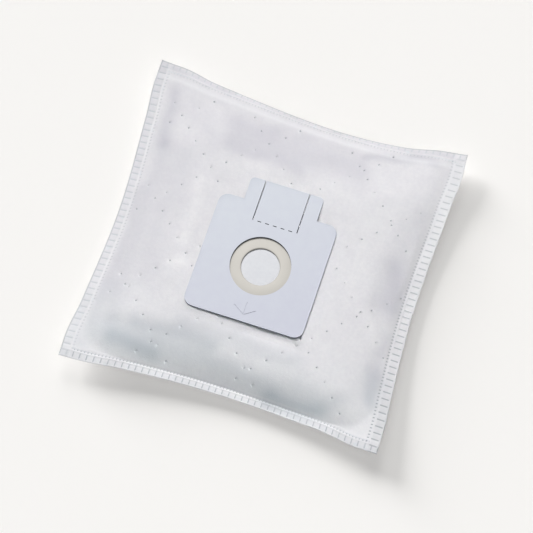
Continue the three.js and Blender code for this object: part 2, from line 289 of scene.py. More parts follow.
def front_height(u, v, at):
    """The outer side of the front sheet."""
    start = weld_height(u, v) + SHEET_GAP / 2 + wall_at(u, v)
    parts = shares(u, v, at, PLATEAU)
    lags = [(1 - part) ** SOFTNESS for part in parts]
    share = 1 - min(sum(lags) ** (1 / SOFTNESS), 1.0)
    bottom_power = 3.4 + 1.4 * smooth(-40, 60, at.x)
    climbs = (climb(share, bottom_power), climb(share, 3.6), top_climb(share), climb(share, 2.2))
    weight = sum(lags)
    rise = 1.0
    if weight > 0:
        rise = sum(lag * height for lag, height in zip(lags, climbs)) / weight
    height = start + (LOFT - start) * rise
    loose = smooth(0.0, 0.25, share) * (1 - smooth(0.9, 1.0, share))
    height += (soft_marks(FOLDS, at.x, at.y) + restless(at.x, at.y)) * loose
    away = math.hypot(at.x, at.y - INLET_Y)
    return height - SEAT_DEPTH * (1 - smooth(SEAT_RADIUS - 2, SEAT_RADIUS + 1, away))


def back_height(u, v, at):
    """The outer side of the back sheet, which rests on the floor."""
    start = weld_height(u, v) - SHEET_GAP / 2 - wall_at(u, v)
    half_x = BAG_WIDTH / 2 - REST_INSET
    half_y = LEFT_SIDE / 2 - REST_INSET
    parts = shares(u, v, at, (-half_x, -half_y, half_x, half_y))
    lag = min(sum((1 - part) ** SOFTNESS for part in parts) ** (1 / SOFTNESS), 1.0)
    return start * lag ** 2


print("front at the collar, mm:", round(front_height(0.5, 0.3, plan_point(0.5, 0.3)), 1))

# %% [markdown]
# ## The flat sheet
# The sheet starts as a flat grid in millimetres. Its lines are close together along the edges,
# where the weld needs them, and 2.9 mm apart elsewhere. The weld is an ultrasonic one: a horn
# presses a ladder of pads into both sheets. The ladder is pressed into the flat sheet first,
# as on the real bag, and the sheet is laid into its pillow shape afterwards.

# %% A flat sheet with fine edges
RUNGS = 48
LINES = 2 * RUNGS
RIM_STOPS = (0, 0.7, 1.4, 1.8, 2.93, 4.4, 5.0, 5.86, 6.5, 7.0, 7.35, 7.7, 8.05, 8.6, 9.0, 9.9, 10.5, 11.1)
SEAM_SCALES = (1.0, 1.17, 1.0, 1.06)
BAND = 11.2


def line_places(length, first_side, last_side):
    """Where the grid's lines lie along a length that runs from one side to the other."""
    pitch = length / LINES
    first = [stop * SEAM_SCALES[first_side] for stop in RIM_STOPS]
    last = [length - stop * SEAM_SCALES[last_side] for stop in reversed(RIM_STOPS)]
    inner = [pitch * line for line in range(LINES) if first[-1] + 0.4 < pitch * line < last[0] - 0.4]
    return first + inner + last


def inset_of(co):
    """Distance in mm from the nearest edge of the flat sheet, and that edge's number."""
    insets = (co.y, SHEET[0] - co.x, SHEET[1] - co.y, co.x)
    side = insets.index(min(insets))
    return insets[side], side


def flat_sheet(cuts):
    """A grid over the cut sheet, from 0, 0 to its size, with the edge band cut across."""
    columns = line_places(SHEET[0], 3, 1)
    rows = line_places(SHEET[1], 0, 2)
    bm = bmesh.new()
    bmesh.ops.create_grid(bm, x_segments=len(columns) - 1, y_segments=len(rows) - 1, size=0.5)
    for vert in bm.verts:
        column = round((vert.co.x + 0.5) * (len(columns) - 1))
        row = round((vert.co.y + 0.5) * (len(rows) - 1))
        vert.co = (columns[column], rows[row], 0)
    if cuts:
        long_edges = []
        for edge in bm.edges:
            first, second = (vert.co for vert in edge.verts)
            middle = (first + second) / 2
            inset, side = inset_of(middle)
            runs_along = abs(first.x - second.x) > 2.5 if side in (0, 2) else abs(first.y - second.y) > 2.5
            if inset < BAND * SEAM_SCALES[side] and runs_along:
                long_edges.append(edge)
        bmesh.ops.subdivide_edges(bm, edges=long_edges, cuts=cuts, use_grid_fill=True)
    return bm


# %% [markdown]
# ## Ladder, stitch points and spot bonds
# From the edge inwards the weld has a smooth rim, the ladder, a smooth ridge and a row of short strokes.
# The grooves, strokes and outer band are painted darker at the bottom and the right, where the floor's shadow
# lies under the weld, and the outer rim is painted darker at the top and the left: this is painted shade.
# One attribute marks what the horn has melted into film, which lets light through and looks darker, and it
# carries this painted shade too. Another marks where two sheets lie together, which looks whiter, and it also
# carries painted light: each side's weld is made whiter or greyer to set how bright it looks, and a whiter band
# is painted just inside the weld, where the sheet rises towards the light. A third attribute holds painted
# shade, here greyest in the weld at the top and the left.

# %% Press the weld into the flat sheet
# the four values of a tuple stand for the bottom, right, top and left side
GROOVE_DEPTH = 0.35
GROOVE_HALF = 0.8
GROOVE_ENDS = ((1.4, 6.2), (1.4, 7.0), (1.4, 5.0), (1.4, 7.0))
# painted shade as well as film: the grooves are darker at the bottom and the right, where the floor's shadow lies
# under the weld
GROOVE_FILM_AND_PAINTED_SHADE = (0.95, 1.4, 0.4, 0.5)
RIDGE_AT = (6.8, 7.7, 7.7, 7.7)
RIDGE_HEIGHT = 0.3
STITCH_ENDS = ((7.6, 8.9), (8.8, 10.1), (8.8, 10.1), (8.8, 10.1))
STITCH_DEPTH = 0.35
# painted shade as well as film in the strokes, darkest at the bottom and the right
STITCH_FILM_AND_PAINTED_SHADE = (0.9, 1.3, 0.35, 0.45)
# painted light as well as two sheets lying together: each side's weld is made whiter or greyer
FUSED_AND_PAINTED_LIGHT_TONES = (0.2, 1.0, 0.0, 0.15)
FUSED_AT_BOTTOM = 0.0
FUSED_INSETS = ((7.4, 12.4), (8.0, 10.2), (9.6, 11.6), (9.6, 11.6))
# painted shade in the weld, greyest at the top and the left
WELD_PAINTED_SHADE = (0.1, 0.1, 0.42, 0.36)
# painted highlight: a whiter band just inside the weld, where the sheet rises towards the light
PAINTED_HIGHLIGHT_ENDS = ((9.2, 10.6), (10.0, 13.0), (12.0, 15.6), (6.8, 8.0))
PAINTED_HIGHLIGHT_TONES = (0.5, 0.0, 0.5, 0.3)
# on the right side the grooves and strokes grow paler towards the top
RIGHT_FADE_AT_TOP = 0.24
REACH = 18.0
# painted shade on the weld's outer band at the bottom and the right
PRESS_PAINTED_SHADE = (0.15, 0.2, 0.0, 0.0)
RIM_WIDTH = 0.8
# painted shade on the outer rim at the top and the left
RIM_PAINTED_SHADE = (0.0, 0.0, 0.5, 0.4)


def between(low, high, value):
    """1 between low and high, and 0 a little way outside them."""
    return smooth(low - 0.3, low + 0.3, value) * (1 - smooth(high - 0.3, high + 0.3, value))


def press_weld(bm):
    """Lowers the ladder's grooves and the strokes, raises the ridge, and marks what is melted, with painted shade
    and painted light that differ side by side.
    """
    film_and_painted_shade = bm.verts.layers.float.new("film_and_painted_shade")
    fused_and_painted_light = bm.verts.layers.float.new("fused_and_painted_light")
    hollow_painted_shade = bm.verts.layers.float.new("hollow_painted_shade")
    for vert in bm.verts:
        x, y = vert.co.x, vert.co.y
        beside = ((y, x, 0), (SHEET[0] - x, y, 1), (SHEET[1] - y, x, 0), (x, y, 1))
        lies = []
        for side, (inset, along, axis) in enumerate(beside):
            inset /= SEAM_SCALES[side]
            if inset > REACH:
                continue
            up = y / SHEET[1]
            right_fade = 1 - (1 - RIGHT_FADE_AT_TOP) * up if side == 1 else 1.0
            tone = FUSED_AND_PAINTED_LIGHT_TONES[side] * (FUSED_AT_BOTTOM + (1 - FUSED_AT_BOTTOM) * up if side == 1 else 1.0)
            weld_painted_shade = WELD_PAINTED_SHADE[side] * (1 - up if side == 1 else 1.0)
            pitch = SHEET[axis] / RUNGS
            rungs = along / pitch
            groove = max(1 - abs(rungs - round(rungs)) * pitch / GROOVE_HALF, 0)
            groove *= between(*GROOVE_ENDS[side], inset)
            strokes = along / (pitch / 2)
            stroke = float(abs(strokes - round(strokes)) < 0.1 and min(along, SHEET[axis] - along) > WELD)
            stroke *= between(*STITCH_ENDS[side], inset)
            rim = float(inset < RIM_WIDTH)
            vert.co.z += RIDGE_HEIGHT * math.exp(-((inset - RIDGE_AT[side]) / 0.5) ** 2)
            vert.co.z -= max(GROOVE_DEPTH * groove, STITCH_DEPTH * stroke)
            # painted shade on the weld's outer band, added to the film's darkness
            press_painted_shade = PRESS_PAINTED_SHADE[side] * ((1 - up) ** 2 if side == 1 else 1.0) * (1 - smooth(5.5, 7.5, inset))
            vert[film_and_painted_shade] = max(vert[film_and_painted_shade], press_painted_shade, right_fade * groove * GROOVE_FILM_AND_PAINTED_SHADE[side],
                                right_fade * stroke * STITCH_FILM_AND_PAINTED_SHADE[side], rim * RIM_PAINTED_SHADE[side])
            lies.append((1 - smooth(*FUSED_INSETS[side], inset), tone))
            # painted shade in the weld
            vert[hollow_painted_shade] = max(vert[hollow_painted_shade], weld_painted_shade * (1 - smooth(6, WELD, inset)))
            # painted highlight inside the weld
            start, end = PAINTED_HIGHLIGHT_ENDS[side]
            painted_highlight = smooth(start - 0.6, start, inset) * (1 - smooth(end, end + 2, inset))
            vert[fused_and_painted_light] = max(vert[fused_and_painted_light], painted_highlight * PAINTED_HIGHLIGHT_TONES[side])
        whiter = sum(share * tone for share, tone in lies) / max(sum(share for share, _ in lies), 1)
        vert[fused_and_painted_light] = max(vert[fused_and_painted_light], whiter)


# %% Pits for the spot bonds
BOND_STEP = 10.2
BOND_RISING = ((-223.6, 0.3), (-140.0, 0.12), (-57.0, 0.4), (23.6, 0.2), (108.0, 0.7))
BOND_FALLING = ((-153.0, 0.5), (-74.0, 0.1), (3.0, 0.0), (82.0, 0.1), (169.0, 0.85))
BOND_MARGIN = 14.0
BOND_DEPTH = 0.5
# radius in mm, and the darkness of the pit, which is film and painted shade
STRONG_BOND = (1.4, 2.0)
FAINT_BOND = (1.0, 1.0)


def under_card(x, y):
    """Whether a place in plan is hidden by the card."""
    return PLATEAU[0] + 2 < x < PLATEAU[2] - 2 and PLATEAU[1] - 4 < y < PLATEAU[3] - 2


def bond_places():
    """The spot bonds in plan, on lines that rise and fall at 45 degrees."""
    places = []
    for step in range(-16, 17):
        for offset, start in BOND_RISING:
            x = (step + start) * BOND_STEP + offset / 2
            places.append((x, x - offset))
        for offset, start in BOND_FALLING:
            x = (step + start) * BOND_STEP + offset / 2
            places.append((x, offset - x))
    return [(x, y + INLET_Y) for x, y in places if not under_card(x, y + INLET_Y)]


def make_pits(bm, verts, radius, tone):
    """Bevels these vertices into small round faces, pushes the middle of each down, and paints each pit darker, as
    film and painted shade.
    """
    film_and_painted_shade = bm.verts.layers.float["film_and_painted_shade"]
    made = bmesh.ops.bevel(bm, geom=verts, offset=radius, offset_type="OFFSET", affect="VERTICES",
                           segments=2, profile=0.5, material=-1)
    floors = list(made["faces"])
    bmesh.ops.inset_region(bm, faces=floors, thickness=radius * 0.3, depth=-BOND_DEPTH, use_even_offset=True)
    for face in floors:
        for vert in face.verts:
            vert[film_and_painted_shade] = tone


def press_bonds(bm):
    """Moves the nearest vertices onto the spot bonds, and pits them, every third one faintly."""
    tree = kdtree.KDTree(len(bm.verts))
    for index, vert in enumerate(bm.verts):
        tree.insert(vert.co, index)
    tree.balance()
    bm.verts.ensure_lookup_table()
    chosen = {}
    for x, y in bond_places():
        if max(abs(x), abs(y)) > 150:
            continue
        u, v = sheet_place(x, y)
        place = Vector((u * SHEET[0], v * SHEET[1], 0))
        if not (0 < u < 1 and 0 < v < 1) or inset_of(place)[0] < BOND_MARGIN:
            continue
        vert = bm.verts[tree.find(place)[1]]
        if all((place - other).length > 4 for other in chosen.values()):
            chosen[vert] = place
    for vert, place in chosen.items():
        vert.co = place
    bonds = list(chosen)
    faint = bonds[::3]
    make_pits(bm, [vert for vert in bonds if vert not in faint], *STRONG_BOND)
    make_pits(bm, faint, *FAINT_BOND)
    return len(bonds)


# %% [markdown]
# ## Lay the sheets into the pillow shape
# Every vertex of the flat sheet is carried to its place: the plan gives x and y, the height function
# gives z, and the relief of the flat sheet is added on top. The cut sheet's own u and v
# are kept as a UV map, so that the fleece's cloudy pattern follows the cloth. A further attribute holds
# painted shade: it makes the sheet greyer where its marks lie, given as places where no inner ply lies
# against the sheet, and whiter where a mark is negative.

# %% Lay a sheet
# painted shade on the sheets, as marks of x and y of both ends, half width and share: greyer where no inner
# ply is said to lie against the front sheet; a negative share is painted light, where an inner ply is said
# to lie close and makes the sheet whiter
PAINTED_SHADE_MARKS = [
    (-56, 98, 50, 97, 15, 0.36),
    (-62, 83, 0, 82, 8, 0.28),
    (-104, 108, -78, 82, 11, 0.17),
    (-66, 112, -30, 109, 8, 0.2),
    (54, 112, 114, 124, 3.5, 0.3),
    (-124, 116, -116, 66, 7, 0.38),
    (-116, 60, -114, -66, 11, 0.26),
    (-125, 20, -123, -105, 5, 0.17),
    (-95, 60, -92, -50, 14, 0.2),
    (-112, -78, -106, -108, 12, 0.2),
    (-126, -124, -110, -106, 10, 0.17),
    (114, 72, 112, 28, 7, 0.1),
    (108, 15, 112, -12, 11, 0.46),
    (124, -40, 123, -70, 6, 0.2),
    (124, -80, 124, -98, 8, 0.56),
    (-50, -84, 50, -84, 10, 0.24),
    (-100, -120, -66, -115, 8, 0.44),
    (-96, -112, 40, -113, 12, 0.36),
    (44, -121, 87, -122, 9, 0.74),
    (-84, -97, -20, -96, 8, 0.38),
    (60, -104, 96, -110, 8, 0.22),
    (-74, 42, -72, -12, 5, -0.12),
    (-72, -34, -66, -30, 6, -0.2),
    (-40, 69, 60, 68, 8, -0.08),
    (84, 60, 80, 0, 11, -0.1),
    (104, -36, 112, -46, 7, -0.13),
]
# the painted shade that every place on the sheets gets
PAINTED_SHADE_BASE = 0.19
PAINTED_SHADE_DRIFT = (34.0, 8.0)
# vector noise would start from the clock, so it gets a seed, and each run is the same
DRIFT_SEED = 2
noise.seed_set(DRIFT_SEED)


def drift(x, y):
    """x and y moved about a little by noise, so that the marks get uneven outlines."""
    size, reach = PAINTED_SHADE_DRIFT
    away = noise.noise_vector(Vector((x / size, y / size, 0))) * reach
    return x + away.x, y + away.y


def lay_sheet(bm, height_at, side, dimples=None):
    """Carries the flat sheet to its place. side is 1 for the front and -1 for the back."""
    uv_layer = bm.loops.layers.uv.new("cut_sheet")
    for face in bm.faces:
        for loop in face.loops:
            loop[uv_layer].uv = (loop.vert.co.x / SHEET[0], loop.vert.co.y / SHEET[1])
    hollow_painted_shade = bm.verts.layers.float["hollow_painted_shade"]
    walls = bm.verts.layers.deform.new()
    for vert in bm.verts:
        u = vert.co.x / SHEET[0]
        v = vert.co.y / SHEET[1]
        at = plan_point(u, tipped_v(u, v))
        # painted shade from the marks, moved about by noise
        loose = PAINTED_SHADE_BASE + soft_marks(PAINTED_SHADE_MARKS, *drift(at.x, at.y))
        vert[hollow_painted_shade] = min(max(vert[hollow_painted_shade], loose, 0.0), 1.0)
        vert[walls][0] = wall_at(u, v) / WALL
        height = height_at(u, v, at) + side * vert.co.z
        if dimples:
            away = dimples.find(at.to_3d())[2]
            height -= DIMPLE * math.exp(-(away / DIMPLE_HALF) ** 2)
        vert.co = (at.x, at.y, height)


def finish_piece(name, bm, body="root"):
    """Scales a millimetre mesh to metres and makes it an object that rides on the body."""
    bmesh.ops.transform(bm, matrix=Matrix.Scale(MM, 4), verts=bm.verts)
    mesh = bpy.data.meshes.new(name)
    bm.to_mesh(mesh)
    bm.free()
    mesh.shade_smooth()
    piece = bpy.data.objects.new(name, mesh)
    bpy.context.scene.collection.objects.link(piece)
    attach(piece, body)
    print(name, "has", len(mesh.polygons), "faces")
    return piece


def add_wall(piece, thickness):
    """Gives a sheet its thickness, on the side away from its outer face, and thinner in the weld."""
    piece.vertex_groups.new(name="wall")
    wall = piece.modifiers.new("wall", "SOLIDIFY")
    wall.thickness = thickness * MM
    wall.offset = -1
    wall.vertex_group = "wall"
    wall.thickness_vertex_group = 0.0


# %% Front sheet with its inlet hole
FLEECE_HOLE = 20.0

dimples = kdtree.KDTree(len(bond_places()))
for index, (x, y) in enumerate(bond_places()):
    dimples.insert((x, y, 0), index)
dimples.balance()

front_bm = flat_sheet(cuts=3)
press_weld(front_bm)
print("spot bonds:", press_bonds(front_bm))
lay_sheet(front_bm, front_height, 1, dimples)
inlet = Vector((0, INLET_Y))
inside_hole = [f for f in front_bm.faces if all((v.co.xy - inlet).length < FLEECE_HOLE for v in f.verts)]
bmesh.ops.delete(front_bm, geom=inside_hole, context="FACES")
for vert in front_bm.verts:
    out = vert.co.xy - inlet
    if vert.is_boundary and out.length < FLEECE_HOLE + 5:
        out = out.normalized() * FLEECE_HOLE
        vert.co.x = inlet.x + out.x
        vert.co.y = inlet.y + out.y
front_sheet = finish_piece("front_sheet", front_bm)
add_wall(front_sheet, WALL)
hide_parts("front_panel")

# %% Back sheet
back_bm = flat_sheet(cuts=3)
press_weld(back_bm)
lay_sheet(back_bm, back_height, -1)
bmesh.ops.reverse_faces(back_bm, faces=back_bm.faces)
back_sheet = finish_piece("back_sheet", back_bm)
add_wall(back_sheet, WALL)
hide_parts("back_panel")

# %% [markdown]
# ## The inner ply
# A dust bag has several plies. The outer two are the sheets above, and the innermost one is loose.
# It is what is seen a few millimetres below the inlet, so it is laid between the two sheets,
# most of the way up from the back, with the shallow waves that a loose ply has.

# %% Inner ply
PLY_SHARE = 0.78
PLY_WALL = 0.3
PLY_WAVE = 1.6
PLY_WAVE_LENGTH = 26.0
PLY_UNDER_INLET = 0.35
PLY_BULGE = (30.0, 55.0)
PLY_PUSH = (0.9, 15.5, 20.0)


def ply_height(u, v, at):
    """Between the two sheets, on the weld where they meet, and close below the inlet."""
    low = back_height(u, v, at) + WALL
    high = front_height(u, v, at) - WALL
    wave = noise.noise(Vector((at.x, at.y, 0)) / PLY_WAVE_LENGTH) * PLY_WAVE
    gap = max(high - low, 0)
    loose = low + gap * PLY_SHARE + wave * smooth(0, 8, gap)
    away = math.hypot(at.x, at.y - INLET_Y)
    close = LOFT - SEAT_DEPTH - WALL - PLY_UNDER_INLET + wave * 0.2 - 0.2 * PLY_WAVE
    close += PLY_PUSH[0] * (1 - smooth(*PLY_PUSH[1:], away))
    return close + (loose - close) * smooth(*PLY_BULGE, away)


ply_bm = flat_sheet(cuts=0)
# the inner ply gets the painted shade too
ply_bm.verts.layers.float.new("hollow_painted_shade")
for vert in ply_bm.verts:
    for axis in (0, 1):
        vert.co[axis] = WELD + vert.co[axis] * (1 - 2 * WELD / SHEET[axis])
lay_sheet(ply_bm, ply_height, 1)
inner_ply = finish_piece("inner_ply", ply_bm)
add_wall(inner_ply, PLY_WALL)

# %% [markdown]
# The cut sheet's size in metres, to which the fleece's pattern is scaled.

# %% The cut sheet's size in metres
SHEET_SIZE = (SHEET[0] * MM, SHEET[1] * MM)
SHEET_AREA = SHEET_SIZE[0] * SHEET_SIZE[1]

# %% [markdown]
# ## The collar card
# The collar is a 2 mm board, die cut. A die leaves square edges that are only just rounded, two
# slits, and a dashed line on which the flap folds. The arrow is creased into the board, not printed.
# The blank is drawn as one face from a few vertices, its corners are rounded by a vertex bevel,
# and it is pushed up to its thickness. What the die cuts away is taken out with a Boolean.

# %% Blank of the card
CARD_HALF = 53.3
CARD_LOW = INLET_Y - 51.9
CARD_SHOULDER = INLET_Y + 54.0
CARD_TOP = CARD_SHOULDER + 21.5
TAB_LEFT = 0.4 - 33.05
TAB_RIGHT = 0.4 + 33.05
CARD_BOTTOM_Z = 22.3
CARD_TOP_Z = 24.3
BODY_CORNER = 8.5
TAB_CORNER = 4.0

card_outline = [
    (-CARD_HALF, CARD_LOW, BODY_CORNER), (CARD_HALF, CARD_LOW, BODY_CORNER),
    (CARD_HALF, CARD_SHOULDER, BODY_CORNER), (TAB_RIGHT, CARD_SHOULDER, 0),
    (TAB_RIGHT, CARD_TOP, TAB_CORNER), (TAB_LEFT, CARD_TOP, TAB_CORNER),
    (TAB_LEFT, CARD_SHOULDER, 0), (-CARD_HALF, CARD_SHOULDER, BODY_CORNER),
]


def card_blank():
    """The card before the die cuts its window and slits."""
    bm = bmesh.new()
    verts = [bm.verts.new((x, y, CARD_BOTTOM_Z)) for x, y, _ in card_outline]
    bm.faces.new(verts)
    for radius in (BODY_CORNER, TAB_CORNER):
        corners = [v for v, (_, _, r) in zip(verts, card_outline) if r == radius and v.is_valid]
        bmesh.ops.bevel(bm, geom=corners, offset=radius, offset_type="OFFSET", affect="VERTICES",
                        segments=10, profile=0.5, material=-1)
    top = bmesh.ops.extrude_face_region(bm, geom=list(bm.faces))
    moved = [g for g in top["geom"] if isinstance(g, bmesh.types.BMVert)]
    bmesh.ops.translate(bm, vec=(0, 0, CARD_TOP_Z - CARD_BOTTOM_Z), verts=moved)
    bmesh.ops.recalc_face_normals(bm, faces=bm.faces)
    return bm


# %% What the die takes away
CARD_WINDOW = 26.4
SLIT_MIDDLES = (0.4 - 19.95, 0.4 + 19.95)
SLIT_WIDTH = 0.8
FOLD_Y = INLET_Y + 37.9
FOLD_CUTS = 5
FOLD_PITCH = 7.0
FOLD_CUT = (3.4, 0.7)
ARROW_TIP = (-0.2, INLET_Y - 46.1)
ARROW_ENDS = ((-0.2, INLET_Y - 34.6), (-10.4, INLET_Y - 39.4), (9.1, INLET_Y - 39.8))
ARROW_WIDTH = 0.8
ARROW_DEPTH = 0.4


def add_bar(bm, middle, size, turn=0.0):
    """A bar of this size with its middle here, turned about the vertical."""
    place = Matrix.Translation(middle) @ Matrix.Rotation(turn, 4, "Z")
    stretch = Matrix.Diagonal((*size, 1.0))
    bmesh.ops.create_cube(bm, size=1.0, matrix=place @ stretch)


def die():
    """The window, the slits, the dashes and the arrow's creases."""
    bm = bmesh.new()
    middle_z = (CARD_BOTTOM_Z + CARD_TOP_Z) / 2
    bmesh.ops.create_cone(bm, cap_ends=True, segments=128, radius1=CARD_WINDOW, radius2=CARD_WINDOW,
                          depth=10, matrix=Matrix.Translation((0, INLET_Y, middle_z)))
    for x in SLIT_MIDDLES:
        reach = CARD_TOP + 2 - FOLD_Y
        add_bar(bm, (x, FOLD_Y + reach / 2, middle_z), (SLIT_WIDTH, reach, 10))
    for cut in range(FOLD_CUTS):
        x = 0.4 + (cut - (FOLD_CUTS - 1) / 2) * FOLD_PITCH
        add_bar(bm, (x, FOLD_Y, middle_z), (*FOLD_CUT, 10))
    return bm


def arrow_creases():
    """Three shallow bars that meet at the arrow's tip."""
    bm = bmesh.new()
    tip = Vector(ARROW_TIP)
    for number, end in enumerate(ARROW_ENDS):
        along = Vector(end) - tip
        middle = tip + along / 2
        depth = ARROW_DEPTH + 0.01 * number
        add_bar(bm, (middle.x, middle.y, CARD_TOP_Z), (along.length, ARROW_WIDTH, 2 * depth),
                math.atan2(along.y, along.x))
    return bm


# %% Cut the card
def cut_away(piece, cutters):
    """Takes each cutter out of the piece with a Boolean, and keeps the result as its mesh."""
    for cutter_bm in cutters:
        bmesh.ops.transform(cutter_bm, matrix=Matrix.Scale(MM, 4), verts=cutter_bm.verts)
        cutter_mesh = bpy.data.meshes.new("cutter")
        cutter_bm.to_mesh(cutter_mesh)
        cutter_bm.free()
        cutter = bpy.data.objects.new("cutter", cutter_mesh)
        bpy.context.scene.collection.objects.link(cutter)
        cut = piece.modifiers.new("cut", "BOOLEAN")
        cut.operation = "DIFFERENCE"
        cut.solver = "EXACT"
        cut.use_self = True
        cut.object = cutter
        depsgraph = bpy.context.evaluated_depsgraph_get()
        result = bpy.data.meshes.new_from_object(piece.evaluated_get(depsgraph))
        piece.modifiers.clear()
        piece.data = result
        bpy.data.objects.remove(cutter)


card = finish_piece("card", card_blank())
cut_away(card, [die(), arrow_creases()])
soften = card.modifiers.new("cut edge", "BEVEL")
soften.width = 0.18 * MM
soften.segments = 2
soften.limit_method = "ANGLE"
soften.angle_limit = math.radians(40)
soften.harden_normals = True
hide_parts("collar_card")
print("card after the die:", len(card.data.polygons), "faces")

# %% [markdown]
# ## The inlet seal
# A ring of thin rubber sheet, punched out and held between the card and the fleece. Its inner edge
# is rounded and a little thicker, so that it grips the tube. A profile spun round the inlet gives it.

# %% Spin the seal
SEAL_HOLE = 16.7
SEAL_OUTER = 34.0
SEAL_LOW = 21.2
SEAL_HIGH = 22.0
SEAL_EDGE = 0.2

seal_bm = bmesh.new()
profile = [
    (SEAL_HOLE + 0.15, SEAL_LOW + 0.05), (SEAL_OUTER - SEAL_EDGE, SEAL_LOW), (SEAL_OUTER, SEAL_LOW + SEAL_EDGE),
    (SEAL_OUTER, SEAL_HIGH - SEAL_EDGE), (SEAL_OUTER - SEAL_EDGE, SEAL_HIGH),
    (SEAL_HOLE + 3.0, SEAL_HIGH), (SEAL_HOLE + 1.2, SEAL_HIGH + 0.12), (SEAL_HOLE + 0.35, SEAL_HIGH + 0.02),
    (SEAL_HOLE, (SEAL_LOW + SEAL_HIGH) / 2),
]
ring_verts = [seal_bm.verts.new((radius, INLET_Y, z)) for radius, z in profile]
ring_edges = [seal_bm.edges.new((ring_verts[i], ring_verts[(i + 1) % len(profile)])) for i in range(len(profile))]
bmesh.ops.spin(seal_bm, geom=ring_verts + ring_edges, cent=(0, INLET_Y, 0), axis=(0, 0, 1),
               angle=2 * math.pi, steps=128, use_merge=True)
bmesh.ops.remove_doubles(seal_bm, verts=seal_bm.verts, dist=1e-4)
bmesh.ops.recalc_face_normals(seal_bm, faces=seal_bm.faces)
seal = finish_piece("seal", seal_bm)
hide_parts("inlet_seal")

# %% [markdown]
# ## Materials
# A colour on a screen is written in sRGB, and Blender works in linear light, so one function turns
# each hex value over. One more function adds a node, sets it and links it.

# %% Helpers for materials
def linear(code):
    """A hex sRGB colour as the linear values that a node wants."""
    values = [int(code[at:at + 2], 16) / 255 for at in (1, 3, 5)]
    return [v / 12.92 if v <= 0.04045 else ((v + 0.055) / 1.055) ** 2.4 for v in values] + [1.0]


def add_node(tree, kind, inputs=None, **settings):
    """Adds a node, sets its properties and its inputs, and links the inputs that are sockets."""
    node = tree.nodes.new(kind)
    for name, value in settings.items():
        setattr(node, name, value)
    for name, value in (inputs or {}).items():
        if isinstance(value, bpy.types.NodeSocket):
            tree.links.new(value, node.inputs[name])
        else:
            node.inputs[name].default_value = value
    return node


def per_metre(size_mm):
    """The scale of a pattern whose features are this many millimetres apart."""
    return 1000.0 / size_mm


def new_material(name):
    """An empty material with only its output."""
    material = bpy.data.materials.new(name)
    material.use_nodes = True
    material.node_tree.nodes.clear()
    output = material.node_tree.nodes.new("ShaderNodeOutputMaterial")
    return material, material.node_tree, output


# %% [markdown]
# ## Spunbond fleece
# The fleece is polypropylene fibre, blown into a web and bonded. It is matte and cloudy: the web is
# thicker in some places than in others, and it lets some light through, which is why the inside
# of the bag is bright. Where it is melted it turns to a smooth, greyer film. Painted shade is laid over
# the web too: greyer where an attribute marks it, and bluer and darker towards the bottom seam.

# %% Fleece
CLOUD_MM = 11.0
CLUMP_MM = 3.2
FIBRE_MM = 0.9


